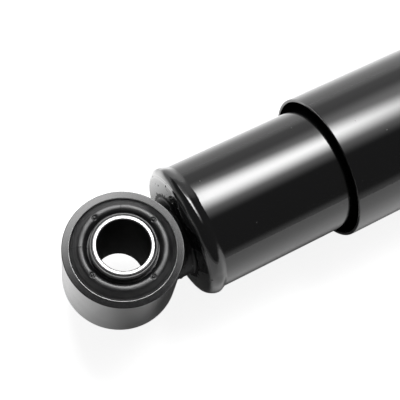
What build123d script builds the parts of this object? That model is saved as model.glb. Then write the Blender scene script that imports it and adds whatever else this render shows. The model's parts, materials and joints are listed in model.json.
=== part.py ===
import os

from build123d import *

# A twin-tube hydraulic shock absorber for a trailer axle, with a rubber-bushed eye at each end.
# It lies along X. The lower eye's bolt axis is Z and its centre is the origin.
# Profiles of turned pieces are written as (distance along X, radius). All sizes are millimetres.

os.makedirs("parts", exist_ok=True)

# Travel
stroke = 150.0
rest_extension = 45.0  # how far the damper is drawn out from fully closed, as it lies
shut_gap = 5.0  # closing ring to upper end cap, fully closed
piston_foot_gap = 3.5  # piston rod end to base valve, fully closed
bumper_gap = 0.5  # rebound bumper to rod guide, fully open

# Eyes and their inner sleeves
bolt_bore = 24.0
sleeve_wall = 2.0
sleeve_length = 50.0
sleeve_chamfer = 0.5
eye_bore = 48.0
eye_wall = 3.5
eye_width = 39.0
eye_chamfer = 0.6

# Rubber bushes: radial widths from the sleeve outwards, heights from the eye's side face
bush_running_fit = 0.05
collar_width = 1.45
collar_height = 4.7
collar_round = 0.6
root_groove_width = 1.2
root_groove_height = 0.4
ridge_height = 2.7
ridge_crown = 0.3  # how far the ridge's middle stands over its shoulders
ridge_flank_width = 1.5
ridge_round = 1.6
ridge_foot_height = 0.6
rim_groove_width = 1.7
rim_groove_depth = 0.9

# End caps and their welds
boss_diameter = 38.0
neck_length = 1.5  # eye to the cap's face
cap_crown = 1.6  # how far the face leans back from the boss to the shoulder
cap_thickness = 3.5
cap_rim_length = 3.1
cap_rim_proud = 0.55  # radially, past the tube that it closes
cap_shoulder_radius = 3.3
cap_root_radius = 1.2
spigot_length = 5.0
spigot_wall = 3.0
eye_weld_leg = 2.5
eye_weld_round = 2.0
seam_gap = 0.8
seam_width = 5.5
seam_crest_width = 2.0
seam_height = 1.45
seam_round = 0.9
rod_weld_leg = 3.5

# Tubes
reserve_tube_diameter = 62.5
reserve_tube_wall = 2.0
pressure_tube_bore = 40.0
pressure_tube_wall = 1.75
cover_diameter = 73.0
cover_wall = 1.5
cover_length = 208.2
cover_rim_round = 0.3
tube_chamfer = 0.5

# Base valve
foot_height = 6.0
foot_side_gap = 2.25  # foot to the lower cap's spigot
foot_wall = 6.0
foot_slot_count = 6
foot_slot_width = 6.0
base_flange_thickness = 2.0
base_flange_diameter = 46.0
base_spigot_height = 4.0
base_bolt_diameter = 8.0
base_shoulder_diameter = 10.0
base_head_diameter = 20.0
base_head_thickness = 2.0
base_socket_width = 5.0
base_nut_width = 13.0
base_nut_height = 3.0
bolt_end_length = 0.2
intake_circle_diameter = 30.0
intake_hole_diameter = 4.0
compression_circle_diameter = 18.0
compression_hole_diameter = 3.0
passage_count = 6

# Valve plates, springs and shims
plate_thickness = 1.0
plate_fit = 0.1
plate_overlap = 1.5  # how far a plate covers the land outside its holes
window_diameter = 4.0
spring_space = 3.0
spring_thickness = 0.4
spring_slot_count = 6
spring_slot_width = 4.0
spring_slot_length = 5.0
shim_thickness = 0.3
shim_count = 4
shim_overlap = 1.5
shim_washer_edge = 0.3
shim_washer_thickness = 1.2

# Piston and rod
rod_diameter = 18.0
rod_thread_diameter = 12.0
rod_chamfer = 1.0
rod_end_length = 1.0
rod_socket_depth = 3.0
piston_nut_width = 19.0
piston_nut_height = 8.0
piston_washer_thickness = 1.5
piston_height = 12.0
piston_side_gap = 0.3
band_height = 6.0
band_thickness = 1.55
band_running_fit = 0.05
band_side_fit = 0.05
band_split = 0.6
band_split_angle = 30.0
outer_circle_diameter = 31.4
outer_hole_diameter = 3.2
inner_circle_diameter = 21.0
inner_hole_diameter = 3.0
stop_collar_diameter = 16.0
stop_flange_diameter = 34.0
stop_flange_thickness = 2.3
bumper_height = 5.0
bumper_diameter = 28.0
bumper_round = 1.2

# Rod guide, seals and closing ring
rod_running_fit = 0.04
guide_spigot_height = 6.0
guide_flange_height = 10.0
seal_height = 5.0
seal_washer_thickness = 1.0
seal_diameter = 30.0
seal_lip_thickness = 1.76
seal_web_thickness = 2.0
garter_wire = 0.8  # radius of the garter spring's coil
bush_wall = 1.46
bush_length = 14.0
bush_stop_thickness = 1.0
rod_pass_gap = 0.6
o_ring_section = 2.2
o_ring_groove_width = 3.0
o_ring_groove_depth = 2.25
closing_ring_height = 6.0
wiper_diameter = 25.0
wiper_lip = 0.5
pin_hole_count = 4
pin_circle_diameter = 42.0
pin_hole_diameter = 5.0
pin_hole_depth = 3.5

# Radii and an angle that several pieces share
sleeve_radius = bolt_bore / 2 + sleeve_wall
eye_radius = eye_bore / 2 + eye_wall
boss_radius = boss_diameter / 2
tube_radius = reserve_tube_diameter / 2
tube_inner = tube_radius - reserve_tube_wall
cover_radius = cover_diameter / 2
cover_inner = cover_radius - cover_wall
bore_radius = pressure_tube_bore / 2
pressure_radius = bore_radius + pressure_tube_wall
rod_radius = rod_diameter / 2
thread_radius = rod_thread_diameter / 2
rod_bore = rod_radius + rod_running_fit
seal_radius = seal_diameter / 2
foot_radius = tube_inner - spigot_wall - foot_side_gap
half_pitch = 180 / passage_count  # turn that puts a ring of passages between another's

# Places from an eye's centre towards the middle of the damper
cap_face = eye_radius + neck_length
cap_inner = cap_face + cap_thickness
cap_rim_end = cap_face + cap_crown + cap_rim_length
spigot_end = cap_rim_end + spigot_length

# Places along the cylinder, from the lower eye
base_underside = cap_inner + foot_height
base_top = base_underside + base_flange_thickness + base_spigot_height
base_head = base_top + plate_thickness + spring_space
base_end = base_head + base_head_thickness
valve_stack = plate_thickness + spring_space + stop_flange_thickness
shim_stack = shim_count * shim_thickness
nut_stack = rod_end_length + piston_nut_height + piston_washer_thickness + shim_stack
piston_stack = nut_stack + piston_height + valve_stack + bumper_height
guide_foot = base_end + piston_foot_gap + piston_stack + stroke + bumper_gap
guide_shoulder = guide_foot + guide_spigot_height
seal_seat = guide_shoulder + guide_flange_height
guide_top = seal_seat + seal_height + seal_washer_thickness
tube_end = guide_top + closing_ring_height
closed_length = tube_end + shut_gap + cap_inner
rest_length = closed_length + rest_extension

# Places along the rod, as the damper lies
rod_end = base_end + piston_foot_gap + rest_extension
nut_foot = rod_end + rod_end_length
washer_foot = nut_foot + piston_nut_height
piston_foot = rod_end + nut_stack
piston_top = piston_foot + piston_height
stop_flange = piston_top + plate_thickness + spring_space
rod_shoulder = stop_flange + stop_flange_thickness


def save(piece, name):
    """Labels a finished piece and writes it to its own file."""
    piece.part.label = name
    export_step(piece.part, f"parts/{name}.step")


# Each end has an eye welded to the boss of a domed cap, and the cap closes a tube.
# The lower cap closes the reserve tube and the upper one the dust cover.
ends = (
    ("lower", 0.0, 1, tube_radius, tube_inner),
    ("upper", rest_length, -1, cover_radius, cover_inner),
)

for end, eye_x, inward, outer, inner in ends:
    flat = Plane(origin=(eye_x, 0, 0), x_dir=(inward, 0, 0), z_dir=(0, 0, 1))
    upright = Plane(origin=(eye_x, 0, 0), x_dir=(inward, 0, 0), z_dir=(0, -inward, 0))
    square = Plane(origin=(eye_x, 0, 0), x_dir=(0, 1, 0), z_dir=(inward, 0, 0))
    bolt_axis = Axis((eye_x, 0, 0), (0, 0, 1))
    long_axis = Axis((eye_x, 0, 0), (inward, 0, 0))

    # Steel sleeve that the bolt clamps
    with BuildPart() as inner_sleeve:
        with BuildSketch(flat):
            Circle(sleeve_radius)
            Circle(bolt_bore / 2, mode=Mode.SUBTRACT)
        extrude(amount=sleeve_length / 2, both=True)
        chamfer(inner_sleeve.edges().filter_by(GeomType.CIRCLE), sleeve_chamfer)
    save(inner_sleeve, f"{end}_inner_sleeve")

    # Ring of the eye
    with BuildPart() as eye_ring:
        with BuildSketch(flat):
            Circle(eye_radius)
            Circle(eye_bore / 2, mode=Mode.SUBTRACT)
        extrude(amount=eye_width / 2, both=True)
        chamfer(eye_ring.edges().filter_by(GeomType.CIRCLE), eye_chamfer)
    save(eye_ring, f"{end}_eye_ring")

    # Moulded bush with a collar round the sleeve and a swelling ridge on each face
    face = eye_width / 2
    bush_inner = sleeve_radius + bush_running_fit
    collar_outer = bush_inner + collar_width
    ridge_inner = collar_outer + root_groove_width
    ridge_outer = eye_bore / 2 - rim_groove_width
    ridge_middle = (ridge_inner + ridge_outer) / 2
    shoulder_height = face + ridge_height - ridge_crown
    inner_shoulder = (ridge_inner + ridge_flank_width, shoulder_height)
    outer_shoulder = (ridge_outer - ridge_flank_width, shoulder_height)
    with BuildPart() as bush_rubber:
        with BuildSketch(upright) as bush_section:
            with BuildLine():
                Polyline(
                    inner_shoulder,
                    (ridge_inner, face + root_groove_height),
                    (collar_outer, face + root_groove_height),
                    (collar_outer, face + collar_height),
                    (bush_inner, face + collar_height),
                    (bush_inner, 0),
                    (eye_bore / 2, 0),
                    (eye_bore / 2, face - rim_groove_depth),
                    (ridge_outer, face + ridge_foot_height),
                    outer_shoulder,
                )
                ThreePointArc(outer_shoulder, (ridge_middle, face + ridge_height), inner_shoulder)
            make_face()
            shoulders = bush_section.vertices().sort_by_distance((ridge_middle, shoulder_height))
            fillet(shoulders[:2], ridge_round)
            collar_corners = bush_section.vertices().group_by(Axis.Y)[-1]
            fillet(collar_corners, collar_round)
        revolve(axis=bolt_axis)
        mirror(about=flat)
    save(bush_rubber, f"{end}_bush_rubber")

    # Domed cap with its round boss, hollowed to the eye's own radius
    with BuildPart() as end_cap:
        with BuildSketch(flat) as cap_section:
            with BuildLine():
                Polyline(
                    (0, 0),
                    (0, boss_radius),
                    (cap_face, boss_radius),
                    (cap_face + cap_crown, outer + cap_rim_proud),
                    (cap_rim_end, outer + cap_rim_proud),
                    (cap_rim_end, inner),
                    (spigot_end, inner),
                    (spigot_end, inner - spigot_wall),
                    (cap_inner, inner - spigot_wall),
                    (cap_inner, 0),
                    close=True,
                )
            make_face()
            shoulder = (cap_face + cap_crown, outer + cap_rim_proud)
            fillet(cap_section.vertices().sort_by_distance(shoulder)[0], cap_shoulder_radius)
            root = (cap_face, boss_radius)
            fillet(cap_section.vertices().sort_by_distance(root)[0], cap_root_radius)
        revolve(axis=long_axis)
        with BuildSketch(flat):
            Circle(eye_radius)
        extrude(amount=eye_width, both=True, mode=Mode.SUBTRACT)
        if end == "upper":
            with BuildSketch(square.offset(cap_inner)):
                Circle(rod_radius)
            extrude(amount=-rod_socket_depth, mode=Mode.SUBTRACT)
    save(end_cap, f"{end}_end_cap")

    # Fillet weld along the saddle where the boss meets the eye
    weld_reach = eye_radius + eye_weld_leg
    with BuildPart() as eye_weld:
        with BuildSketch(square):
            Circle(boss_radius + eye_weld_leg)
            Circle(boss_radius, mode=Mode.SUBTRACT)
        extrude(amount=spigot_end)
        with BuildSketch(flat):
            Circle(weld_reach)
        extrude(amount=eye_width, both=True, mode=Mode.INTERSECT)
        saddles = eye_weld.edges().filter_by(GeomType.BSPLINE).sort_by(SortBy.LENGTH)
        fillet(saddles[-1], eye_weld_round)
        with BuildSketch(flat):
            Circle(weld_reach)
            Circle(eye_radius, mode=Mode.SUBTRACT)
        extrude(amount=face, both=True, mode=Mode.INTERSECT)
        add(end_cap.part, mode=Mode.SUBTRACT)
    save(eye_weld, f"{end}_eye_weld")

    # Bead that joins the cap's tube to its rim, thick beside the rim and tapering along the tube
    seam_start = cap_rim_end + seam_gap
    with BuildPart() as seam_weld:
        with BuildSketch(flat) as seam_section:
            with BuildLine():
                Polyline(
                    (seam_start, outer),
                    (seam_start, outer + seam_height),
                    (seam_start + seam_crest_width, outer + seam_height),
                    (seam_start + seam_width, outer),
                    close=True,
                )
            make_face()
            crest = seam_section.vertices().group_by(Axis.Y)[-1]
            fillet(crest, seam_round)
        revolve(axis=long_axis)
    save(seam_weld, f"{end}_seam_weld")

# Outer tube that holds the oil reserve
with BuildPart() as reserve_tube:
    with BuildSketch(Plane.YZ.offset(cap_rim_end)):
        Circle(tube_radius)
        Circle(tube_inner, mode=Mode.SUBTRACT)
    extrude(amount=tube_end - cap_rim_end)
    open_end = reserve_tube.faces().sort_by(Axis.X)[-1]
    chamfer(open_end.outer_wire().edges(), tube_chamfer)
save(reserve_tube, "reserve_tube")

# Dust cover, open below and closed by the upper cap, with a rolled-off rim
cover_top = rest_length - cap_rim_end
with BuildPart() as dust_cover:
    with BuildSketch(Plane.YZ.offset(cover_top)):
        Circle(cover_radius)
        Circle(cover_inner, mode=Mode.SUBTRACT)
    extrude(amount=-cover_length)
    rim = dust_cover.faces().sort_by(Axis.X)[0]
    fillet(rim.edges(), cover_rim_round)
save(dust_cover, "dust_cover")

# Weld round the rod where it enters the upper cap
rod_top = rest_length - cap_inner + rod_socket_depth
cap_floor = rest_length - cap_inner
with BuildPart() as rod_weld:
    with BuildSketch():
        with BuildLine():
            Polyline(
                (cap_floor - rod_weld_leg, rod_radius),
                (cap_floor, rod_radius),
                (cap_floor, rod_radius + rod_weld_leg),
                close=True,
            )
        make_face()
    revolve(axis=Axis.X)
save(rod_weld, "rod_weld")

# Working cylinder in which the piston runs
with BuildPart() as pressure_tube:
    with BuildSketch(Plane.YZ.offset(base_underside + base_flange_thickness)):
        Circle(pressure_radius)
        Circle(bore_radius, mode=Mode.SUBTRACT)
    extrude(amount=guide_shoulder - base_underside - base_flange_thickness)
save(pressure_tube, "pressure_tube")

# Base valve body: slotted foot, flange under the pressure tube, and a spigot in its bore
with BuildPart() as base_valve_body:
    with BuildSketch(Plane.YZ.offset(cap_inner)):
        Circle(foot_radius)
        Circle(foot_radius - foot_wall, mode=Mode.SUBTRACT)
    extrude(amount=foot_height)
    with BuildSketch(Plane.YZ.offset(cap_inner)):
        with PolarLocations(foot_radius, foot_slot_count):
            Rectangle(3 * foot_wall, foot_slot_width)
    extrude(amount=foot_height - base_flange_thickness, mode=Mode.SUBTRACT)
    with BuildSketch(Plane.YZ.offset(base_underside)):
        Circle(base_flange_diameter / 2)
    extrude(amount=base_flange_thickness)
    with BuildSketch(Plane.YZ.offset(base_underside)):
        Circle(bore_radius)
    extrude(amount=base_top - base_underside)
    with BuildSketch(Plane.YZ.offset(base_top)):
        Circle(base_bolt_diameter / 2)
        with PolarLocations(intake_circle_diameter / 2, passage_count):
            Circle(intake_hole_diameter / 2)
        with PolarLocations(compression_circle_diameter / 2, passage_count, half_pitch):
            Circle(compression_hole_diameter / 2)
    extrude(amount=base_underside - base_top, mode=Mode.SUBTRACT)
save(base_valve_body, "base_valve_body")


def shim_radii(hole_circle, hole_diameter, washer_radius):
    """Radii of a stack of shims, from the one on its seat to the one at the washer."""
    widest = (hole_circle + hole_diameter) / 2 + shim_overlap
    step = (widest - washer_radius) / shim_count
    return [widest - step * i for i in range(shim_count)]


def shim_stacks():
    """Each stack's name, the face it seals, its shims' radii and their bore's radius."""
    base = shim_radii(compression_circle_diameter, compression_hole_diameter, base_washer_radius)
    rebound = shim_radii(inner_circle_diameter, inner_hole_diameter, piston_washer_radius)
    return (
        ("compression_shim", base_underside, base, base_bolt_diameter / 2),
        ("rebound_shim", piston_foot, rebound, thread_radius),
    )


# Shims under each valve, which bend to let oil through: the base valve's when the damper is
# pushed in, and the piston's when it is drawn out
base_washer_radius = base_nut_width / 2 + shim_washer_edge
piston_washer_radius = piston_nut_width / 2 + shim_washer_edge
for stack, seat, radii, shim_bore in shim_stacks():
    for i, radius in enumerate(radii):
        with BuildPart() as shim:
            with BuildSketch(Plane.YZ.offset(seat - i * shim_thickness)):
                Circle(radius)
                Circle(shim_bore, mode=Mode.SUBTRACT)
            extrude(amount=-shim_thickness)
        save(shim, f"{stack}_{i + 1}")

base_washer_top = base_underside - shim_stack
with BuildPart() as compression_washer:
    with BuildSketch(Plane.YZ.offset(base_washer_top)):
        Circle(base_washer_radius)
        Circle(base_bolt_diameter / 2, mode=Mode.SUBTRACT)
    extrude(amount=-shim_washer_thickness)
save(compression_washer, "compression_washer")

base_nut_top = base_washer_top - shim_washer_thickness
with BuildPart() as base_valve_nut:
    with BuildSketch(Plane.YZ.offset(base_nut_top)):
        RegularPolygon(base_nut_width / 2, 6, major_radius=False)
        Circle(base_bolt_diameter / 2, mode=Mode.SUBTRACT)
    extrude(amount=-base_nut_height)
save(base_valve_nut, "base_valve_nut")

# Bolt through the base valve: a shoulder guides the intake plate and the head stops it
with BuildPart() as base_valve_bolt:
    with BuildSketch(Plane.YZ.offset(base_nut_top - base_nut_height - bolt_end_length)):
        Circle(base_bolt_diameter / 2)
    extrude(amount=base_top - base_nut_top + base_nut_height + bolt_end_length)
    with BuildSketch(Plane.YZ.offset(base_top)):
        Circle(base_shoulder_diameter / 2)
    extrude(amount=base_head - base_top)
    with BuildSketch(Plane.YZ.offset(base_head)):
        Circle(base_head_diameter / 2)
    extrude(amount=base_head_thickness)
    with BuildSketch(Plane.YZ.offset(base_end)):
        RegularPolygon(base_socket_width / 2, 6, major_radius=False)
    extrude(amount=-base_head_thickness, mode=Mode.SUBTRACT)
save(base_valve_bolt, "base_valve_bolt")

# Intake plate, which lifts off the outer passages when the damper is drawn out
intake_plate_radius = (intake_circle_diameter + intake_hole_diameter) / 2 + plate_overlap
with BuildPart() as intake_plate:
    with BuildSketch(Plane.YZ.offset(base_top)):
        Circle(intake_plate_radius)
        Circle(base_shoulder_diameter / 2 + plate_fit, mode=Mode.SUBTRACT)
        with PolarLocations(compression_circle_diameter / 2, passage_count, half_pitch):
            Circle(window_diameter / 2, mode=Mode.SUBTRACT)
    extrude(amount=plate_thickness)
save(intake_plate, "intake_plate")

# Piston with outer passages under its check plate and inner ones over its rebound shims
band_foot = piston_foot + (piston_height - band_height) / 2
piston_radius = bore_radius - piston_side_gap
band_outer = bore_radius - band_running_fit
band_inner = band_outer - band_thickness
with BuildPart() as piston:
    with BuildSketch(Plane.YZ.offset(piston_foot)):
        Circle(piston_radius)
        Circle(thread_radius, mode=Mode.SUBTRACT)
        with PolarLocations(outer_circle_diameter / 2, passage_count):
            Circle(outer_hole_diameter / 2, mode=Mode.SUBTRACT)
        with PolarLocations(inner_circle_diameter / 2, passage_count, half_pitch):
            Circle(inner_hole_diameter / 2, mode=Mode.SUBTRACT)
    extrude(amount=piston_height)
    with BuildSketch(Plane.YZ.offset(band_foot - band_side_fit)):
        Circle(piston_radius)
        Circle(band_inner - band_running_fit, mode=Mode.SUBTRACT)
    extrude(amount=band_height + 2 * band_side_fit, mode=Mode.SUBTRACT)
save(piston, "piston")

# Low-friction band round the piston, split by a slanting cut
with BuildPart() as piston_band:
    with BuildSketch(Plane.YZ.offset(band_foot)):
        Circle(band_outer)
        Circle(band_inner, mode=Mode.SUBTRACT)
    extrude(amount=band_height)
    split_plane = Plane(origin=(band_foot + band_height / 2, 0, 0), z_dir=(0, 0, 1))
    with BuildSketch(split_plane.rotated((0, 0, band_split_angle))):
        Rectangle(2 * band_height, band_split)
    extrude(amount=bore_radius, mode=Mode.SUBTRACT)
save(piston_band, "piston_band")

with BuildPart() as rebound_washer:
    with BuildSketch(Plane.YZ.offset(washer_foot)):
        Circle(piston_washer_radius)
        Circle(thread_radius, mode=Mode.SUBTRACT)
    extrude(amount=piston_washer_thickness)
save(rebound_washer, "rebound_washer")

with BuildPart() as piston_nut:
    with BuildSketch(Plane.YZ.offset(nut_foot)):
        RegularPolygon(piston_nut_width / 2, 6, major_radius=False)
        Circle(thread_radius, mode=Mode.SUBTRACT)
    extrude(amount=piston_nut_height)
save(piston_nut, "piston_nut")

# Check plate, which lifts off the piston's outer passages when the damper is pushed in
check_plate_radius = (outer_circle_diameter + outer_hole_diameter) / 2 + plate_overlap / 2
with BuildPart() as check_plate:
    with BuildSketch(Plane.YZ.offset(piston_top)):
        Circle(check_plate_radius)
        Circle(stop_collar_diameter / 2 + plate_fit, mode=Mode.SUBTRACT)
        with PolarLocations(inner_circle_diameter / 2, passage_count, half_pitch):
            Circle(inner_hole_diameter / 2, mode=Mode.SUBTRACT)
    extrude(amount=plate_thickness)
save(check_plate, "check_plate")

# Coned finger springs that hold the two plates shut
springs = (
    ("intake_spring", base_top, base_shoulder_diameter / 2, intake_plate_radius),
    ("check_spring", piston_top, stop_collar_diameter / 2, check_plate_radius),
)
for name, seat, guide_radius, plate_radius in springs:
    spring_foot = seat + plate_thickness
    spring_top = spring_foot + spring_space
    with BuildPart() as spring:
        with BuildSketch():
            with BuildLine():
                Polyline(
                    (spring_foot, plate_radius),
                    (spring_top - spring_thickness, guide_radius + plate_fit),
                    (spring_top, guide_radius + plate_fit),
                    (spring_foot + spring_thickness, plate_radius),
                    close=True,
                )
            make_face()
        revolve(axis=Axis.X)
        with BuildSketch(Plane.YZ.offset(spring_foot)):
            with PolarLocations(plate_radius, spring_slot_count):
                SlotCenterToCenter(2 * spring_slot_length, spring_slot_width)
        extrude(amount=spring_space, mode=Mode.SUBTRACT)
    save(spring, name)

# Flanged stop that guides the check plate and bears on the rod's shoulder
with BuildPart() as check_stop:
    with BuildSketch(Plane.YZ.offset(piston_top)):
        Circle(stop_collar_diameter / 2)
        Circle(thread_radius, mode=Mode.SUBTRACT)
    extrude(amount=rod_shoulder - piston_top)
    with BuildSketch(Plane.YZ.offset(stop_flange)):
        Circle(stop_flange_diameter / 2)
        Circle(thread_radius, mode=Mode.SUBTRACT)
    extrude(amount=stop_flange_thickness)
save(check_stop, "check_stop")

with BuildPart() as rebound_bumper:
    with BuildSketch(Plane.YZ.offset(rod_shoulder)):
        Circle(bumper_diameter / 2)
        Circle(rod_radius, mode=Mode.SUBTRACT)
    extrude(amount=bumper_height)
    outer_rims = rebound_bumper.edges().filter_by(GeomType.CIRCLE).group_by(SortBy.RADIUS)[-1]
    fillet(outer_rims, bumper_round)
save(rebound_bumper, "rebound_bumper")

# Ground and plated rod, turned down to a threaded end that carries the piston
with BuildPart() as piston_rod:
    with BuildSketch(Plane.YZ.offset(rod_end)):
        Circle(thread_radius)
    extrude(amount=rod_shoulder - rod_end)
    chamfer(piston_rod.edges().group_by(Axis.X)[0], rod_chamfer)
    with BuildSketch(Plane.YZ.offset(rod_shoulder)):
        Circle(rod_radius)
    extrude(amount=rod_top - rod_shoulder)
save(piston_rod, "piston_rod")

# Rod guide: a spigot in the pressure tube, a groove for the ring seal and a recess for the rod seal
bush_outer = rod_bore + bush_wall
groove_start = guide_shoulder + (guide_flange_height - o_ring_groove_width) / 2
groove_end = groove_start + o_ring_groove_width
groove_radius = tube_inner - o_ring_groove_depth
rod_pass = rod_radius + rod_pass_gap
with BuildPart() as rod_guide:
    with BuildSketch():
        with BuildLine():
            Polyline(
                (guide_foot, bush_outer),
                (guide_foot, bore_radius),
                (guide_shoulder, bore_radius),
                (guide_shoulder, tube_inner),
                (groove_start, tube_inner),
                (groove_start, groove_radius),
                (groove_end, groove_radius),
                (groove_end, tube_inner),
                (guide_top, tube_inner),
                (guide_top, seal_radius),
                (seal_seat, seal_radius),
                (seal_seat, rod_pass),
                (seal_seat - bush_stop_thickness, rod_pass),
                (seal_seat - bush_stop_thickness, bush_outer),
                close=True,
            )
        make_face()
    revolve(axis=Axis.X)
save(rod_guide, "rod_guide")

with BuildPart() as guide_bush:
    with BuildSketch(Plane.YZ.offset(seal_seat - bush_stop_thickness)):
        Circle(bush_outer)
        Circle(rod_bore, mode=Mode.SUBTRACT)
    extrude(amount=-bush_length)
save(guide_bush, "guide_bush")

with BuildPart() as guide_o_ring:
    with BuildSketch():
        with Locations(((groove_start + groove_end) / 2, groove_radius + o_ring_section / 2)):
            Circle(o_ring_section / 2)
    revolve(axis=Axis.X)
save(guide_o_ring, "guide_o_ring")

# Rod seal: a heel in the guide's recess and a lip that a garter spring closes on the rod
lip_outer = rod_bore + seal_lip_thickness
seal_top = seal_seat + seal_height
with BuildPart() as rod_seal:
    with BuildSketch():
        with BuildLine():
            Polyline(
                (seal_seat, rod_bore),
                (seal_seat, seal_radius),
                (seal_top, seal_radius),
                (seal_top, lip_outer + 2 * garter_wire),
                (seal_seat + seal_web_thickness, lip_outer + 2 * garter_wire),
                (seal_seat + seal_web_thickness, lip_outer),
                (seal_top, lip_outer),
                (seal_top, rod_bore),
                close=True,
            )
        make_face()
    revolve(axis=Axis.X)
save(rod_seal, "rod_seal")

with BuildPart() as garter_spring:
    with BuildSketch():
        with Locations((seal_seat + seal_web_thickness + garter_wire, lip_outer + garter_wire)):
            Circle(garter_wire)
    revolve(axis=Axis.X)
save(garter_spring, "garter_spring")

with BuildPart() as seal_washer:
    with BuildSketch(Plane.YZ.offset(seal_top)):
        Circle(seal_radius)
        Circle(rod_pass, mode=Mode.SUBTRACT)
    extrude(amount=seal_washer_thickness)
save(seal_washer, "seal_washer")

# Closing ring screwed into the reserve tube, with holes for a pin spanner
with BuildPart() as closing_ring:
    with BuildSketch(Plane.YZ.offset(guide_top)):
        Circle(tube_inner)
        Circle(wiper_diameter / 2, mode=Mode.SUBTRACT)
    extrude(amount=closing_ring_height)
    with BuildSketch(Plane.YZ.offset(tube_end)):
        with PolarLocations(pin_circle_diameter / 2, pin_hole_count):
            Circle(pin_hole_diameter / 2)
    extrude(amount=-pin_hole_depth, mode=Mode.SUBTRACT)
save(closing_ring, "closing_ring")

# Wiper that keeps grit off the rod seal
with BuildPart() as wiper_ring:
    with BuildSketch():
        with BuildLine():
            Polyline(
                (guide_top, rod_pass),
                (guide_top, wiper_diameter / 2),
                (tube_end, wiper_diameter / 2),
                (tube_end, rod_bore),
                (tube_end - wiper_lip, rod_bore),
                (tube_end - closing_ring_height / 2, rod_pass),
                close=True,
            )
        make_face()
    revolve(axis=Axis.X)
save(wiper_ring, "wiper_ring")
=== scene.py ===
# %% [markdown]
# # A trailer shock absorber, dressed for the studio
#
# The damper comes in as finished solids: an eye at each end with a rubber bush and a steel
# sleeve, a painted tube and a painted dust cover. This lesson gives each of them its finish,
# adds what a solid model leaves out, such as the ripple of a weld, and lights the whole.

# %% Load the frame
import json
import math
import random

import bmesh
import bpy
from mathutils import Matrix, Vector, bvhtree, noise

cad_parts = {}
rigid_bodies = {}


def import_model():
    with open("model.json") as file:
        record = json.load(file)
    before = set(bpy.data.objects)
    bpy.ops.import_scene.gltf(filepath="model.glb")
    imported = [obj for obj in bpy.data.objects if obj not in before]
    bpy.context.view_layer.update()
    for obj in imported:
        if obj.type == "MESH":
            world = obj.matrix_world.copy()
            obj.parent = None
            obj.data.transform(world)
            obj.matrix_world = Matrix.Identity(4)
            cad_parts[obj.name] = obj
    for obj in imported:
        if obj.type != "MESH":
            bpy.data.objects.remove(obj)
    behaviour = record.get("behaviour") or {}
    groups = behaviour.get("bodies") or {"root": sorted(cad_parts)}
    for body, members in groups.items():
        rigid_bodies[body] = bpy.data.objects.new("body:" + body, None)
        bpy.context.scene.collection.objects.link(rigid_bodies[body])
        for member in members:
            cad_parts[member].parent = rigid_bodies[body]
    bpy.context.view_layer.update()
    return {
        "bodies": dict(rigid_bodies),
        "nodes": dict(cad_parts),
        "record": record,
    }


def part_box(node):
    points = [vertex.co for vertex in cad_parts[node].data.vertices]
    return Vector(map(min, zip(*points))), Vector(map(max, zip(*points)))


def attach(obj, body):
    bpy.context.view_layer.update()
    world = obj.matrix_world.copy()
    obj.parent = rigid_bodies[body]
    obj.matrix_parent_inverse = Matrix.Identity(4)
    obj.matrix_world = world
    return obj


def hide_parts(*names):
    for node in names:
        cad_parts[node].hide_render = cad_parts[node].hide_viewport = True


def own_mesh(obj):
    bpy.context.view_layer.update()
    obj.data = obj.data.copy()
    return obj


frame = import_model()
nodes = frame["nodes"]
random.seed(7)
print(len(nodes), "solids in", len(frame["bodies"]), "bodies")

# %% [markdown]
# The object's own sizes say where everything goes. Each is read from a solid's box, so nothing
# here has to be fitted. The damper lies along X, and both bolt axes are parallel to Z.

# %% Measure the solids
MM = 0.001


def middle(node):
    low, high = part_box(node)
    return (low + high) / 2


def half_size(node):
    low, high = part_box(node)
    return (high - low) / 2


EYES = {"lower": middle("lower_inner_sleeve"), "upper": middle("upper_inner_sleeve")}
FLOOR_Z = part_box("upper_seam_weld")[0].z
print("eye to eye:", round((EYES["upper"] - EYES["lower"]).length / MM, 1), "mm")

# %% [markdown]
# ## Writing shader maths as expressions
#
# A material's pattern is a sum: a bit of noise here, a threshold there. In the node editor each
# sign is a Math node. The small class below wraps a socket, so that `noise * 0.2 + 0.1` adds
# those nodes by itself.

# %% A socket that can be added and multiplied


class Value:
    """A number that varies over a surface."""

    def __init__(self, shader, socket):
        self.shader = shader
        self.socket = socket

    def math(self, operation, *others):
        values = dict(enumerate((self, *others)))
        return self.shader.add("ShaderNodeMath", {"operation": operation}, values)[0]

    def __add__(self, other):
        return self.math("ADD", other)

    def __radd__(self, other):
        return self + other

    def __sub__(self, other):
        return self.math("SUBTRACT", other)

    def __rsub__(self, other):
        return self * -1 + other

    def __mul__(self, other):
        return self.math("MULTIPLY", other)

    def __truediv__(self, other):
        return self.math("DIVIDE", other)

    def __pow__(self, other):
        return self.math("POWER", other)

    def __gt__(self, other):
        return self.math("GREATER_THAN", other)

    def sine(self):
        return self.math("SINE")

    def ramp(self, low, high):
        """0 where this is at or under low, 1 where it is at or over high, smooth between."""
        settings = {"interpolation_type": "SMOOTHSTEP"}
        inputs = {"Value": self, "From Min": low, "From Max": high}
        return self.shader.add("ShaderNodeMapRange", settings, inputs)["Result"]


class Outputs:
    """A node's outputs, by name or by number."""

    def __init__(self, shader, node):
        self.shader = shader
        self.node = node

    def __getitem__(self, key):
        return Value(self.shader, self.node.outputs[key])


print("sockets can be added and multiplied")

# %% [markdown]
# Every other node comes from `Shader.add`, which takes the node's kind, its settings and what
# feeds it. The methods after it are the few things that the finishes below are made of.

# %% The node tree


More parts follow.
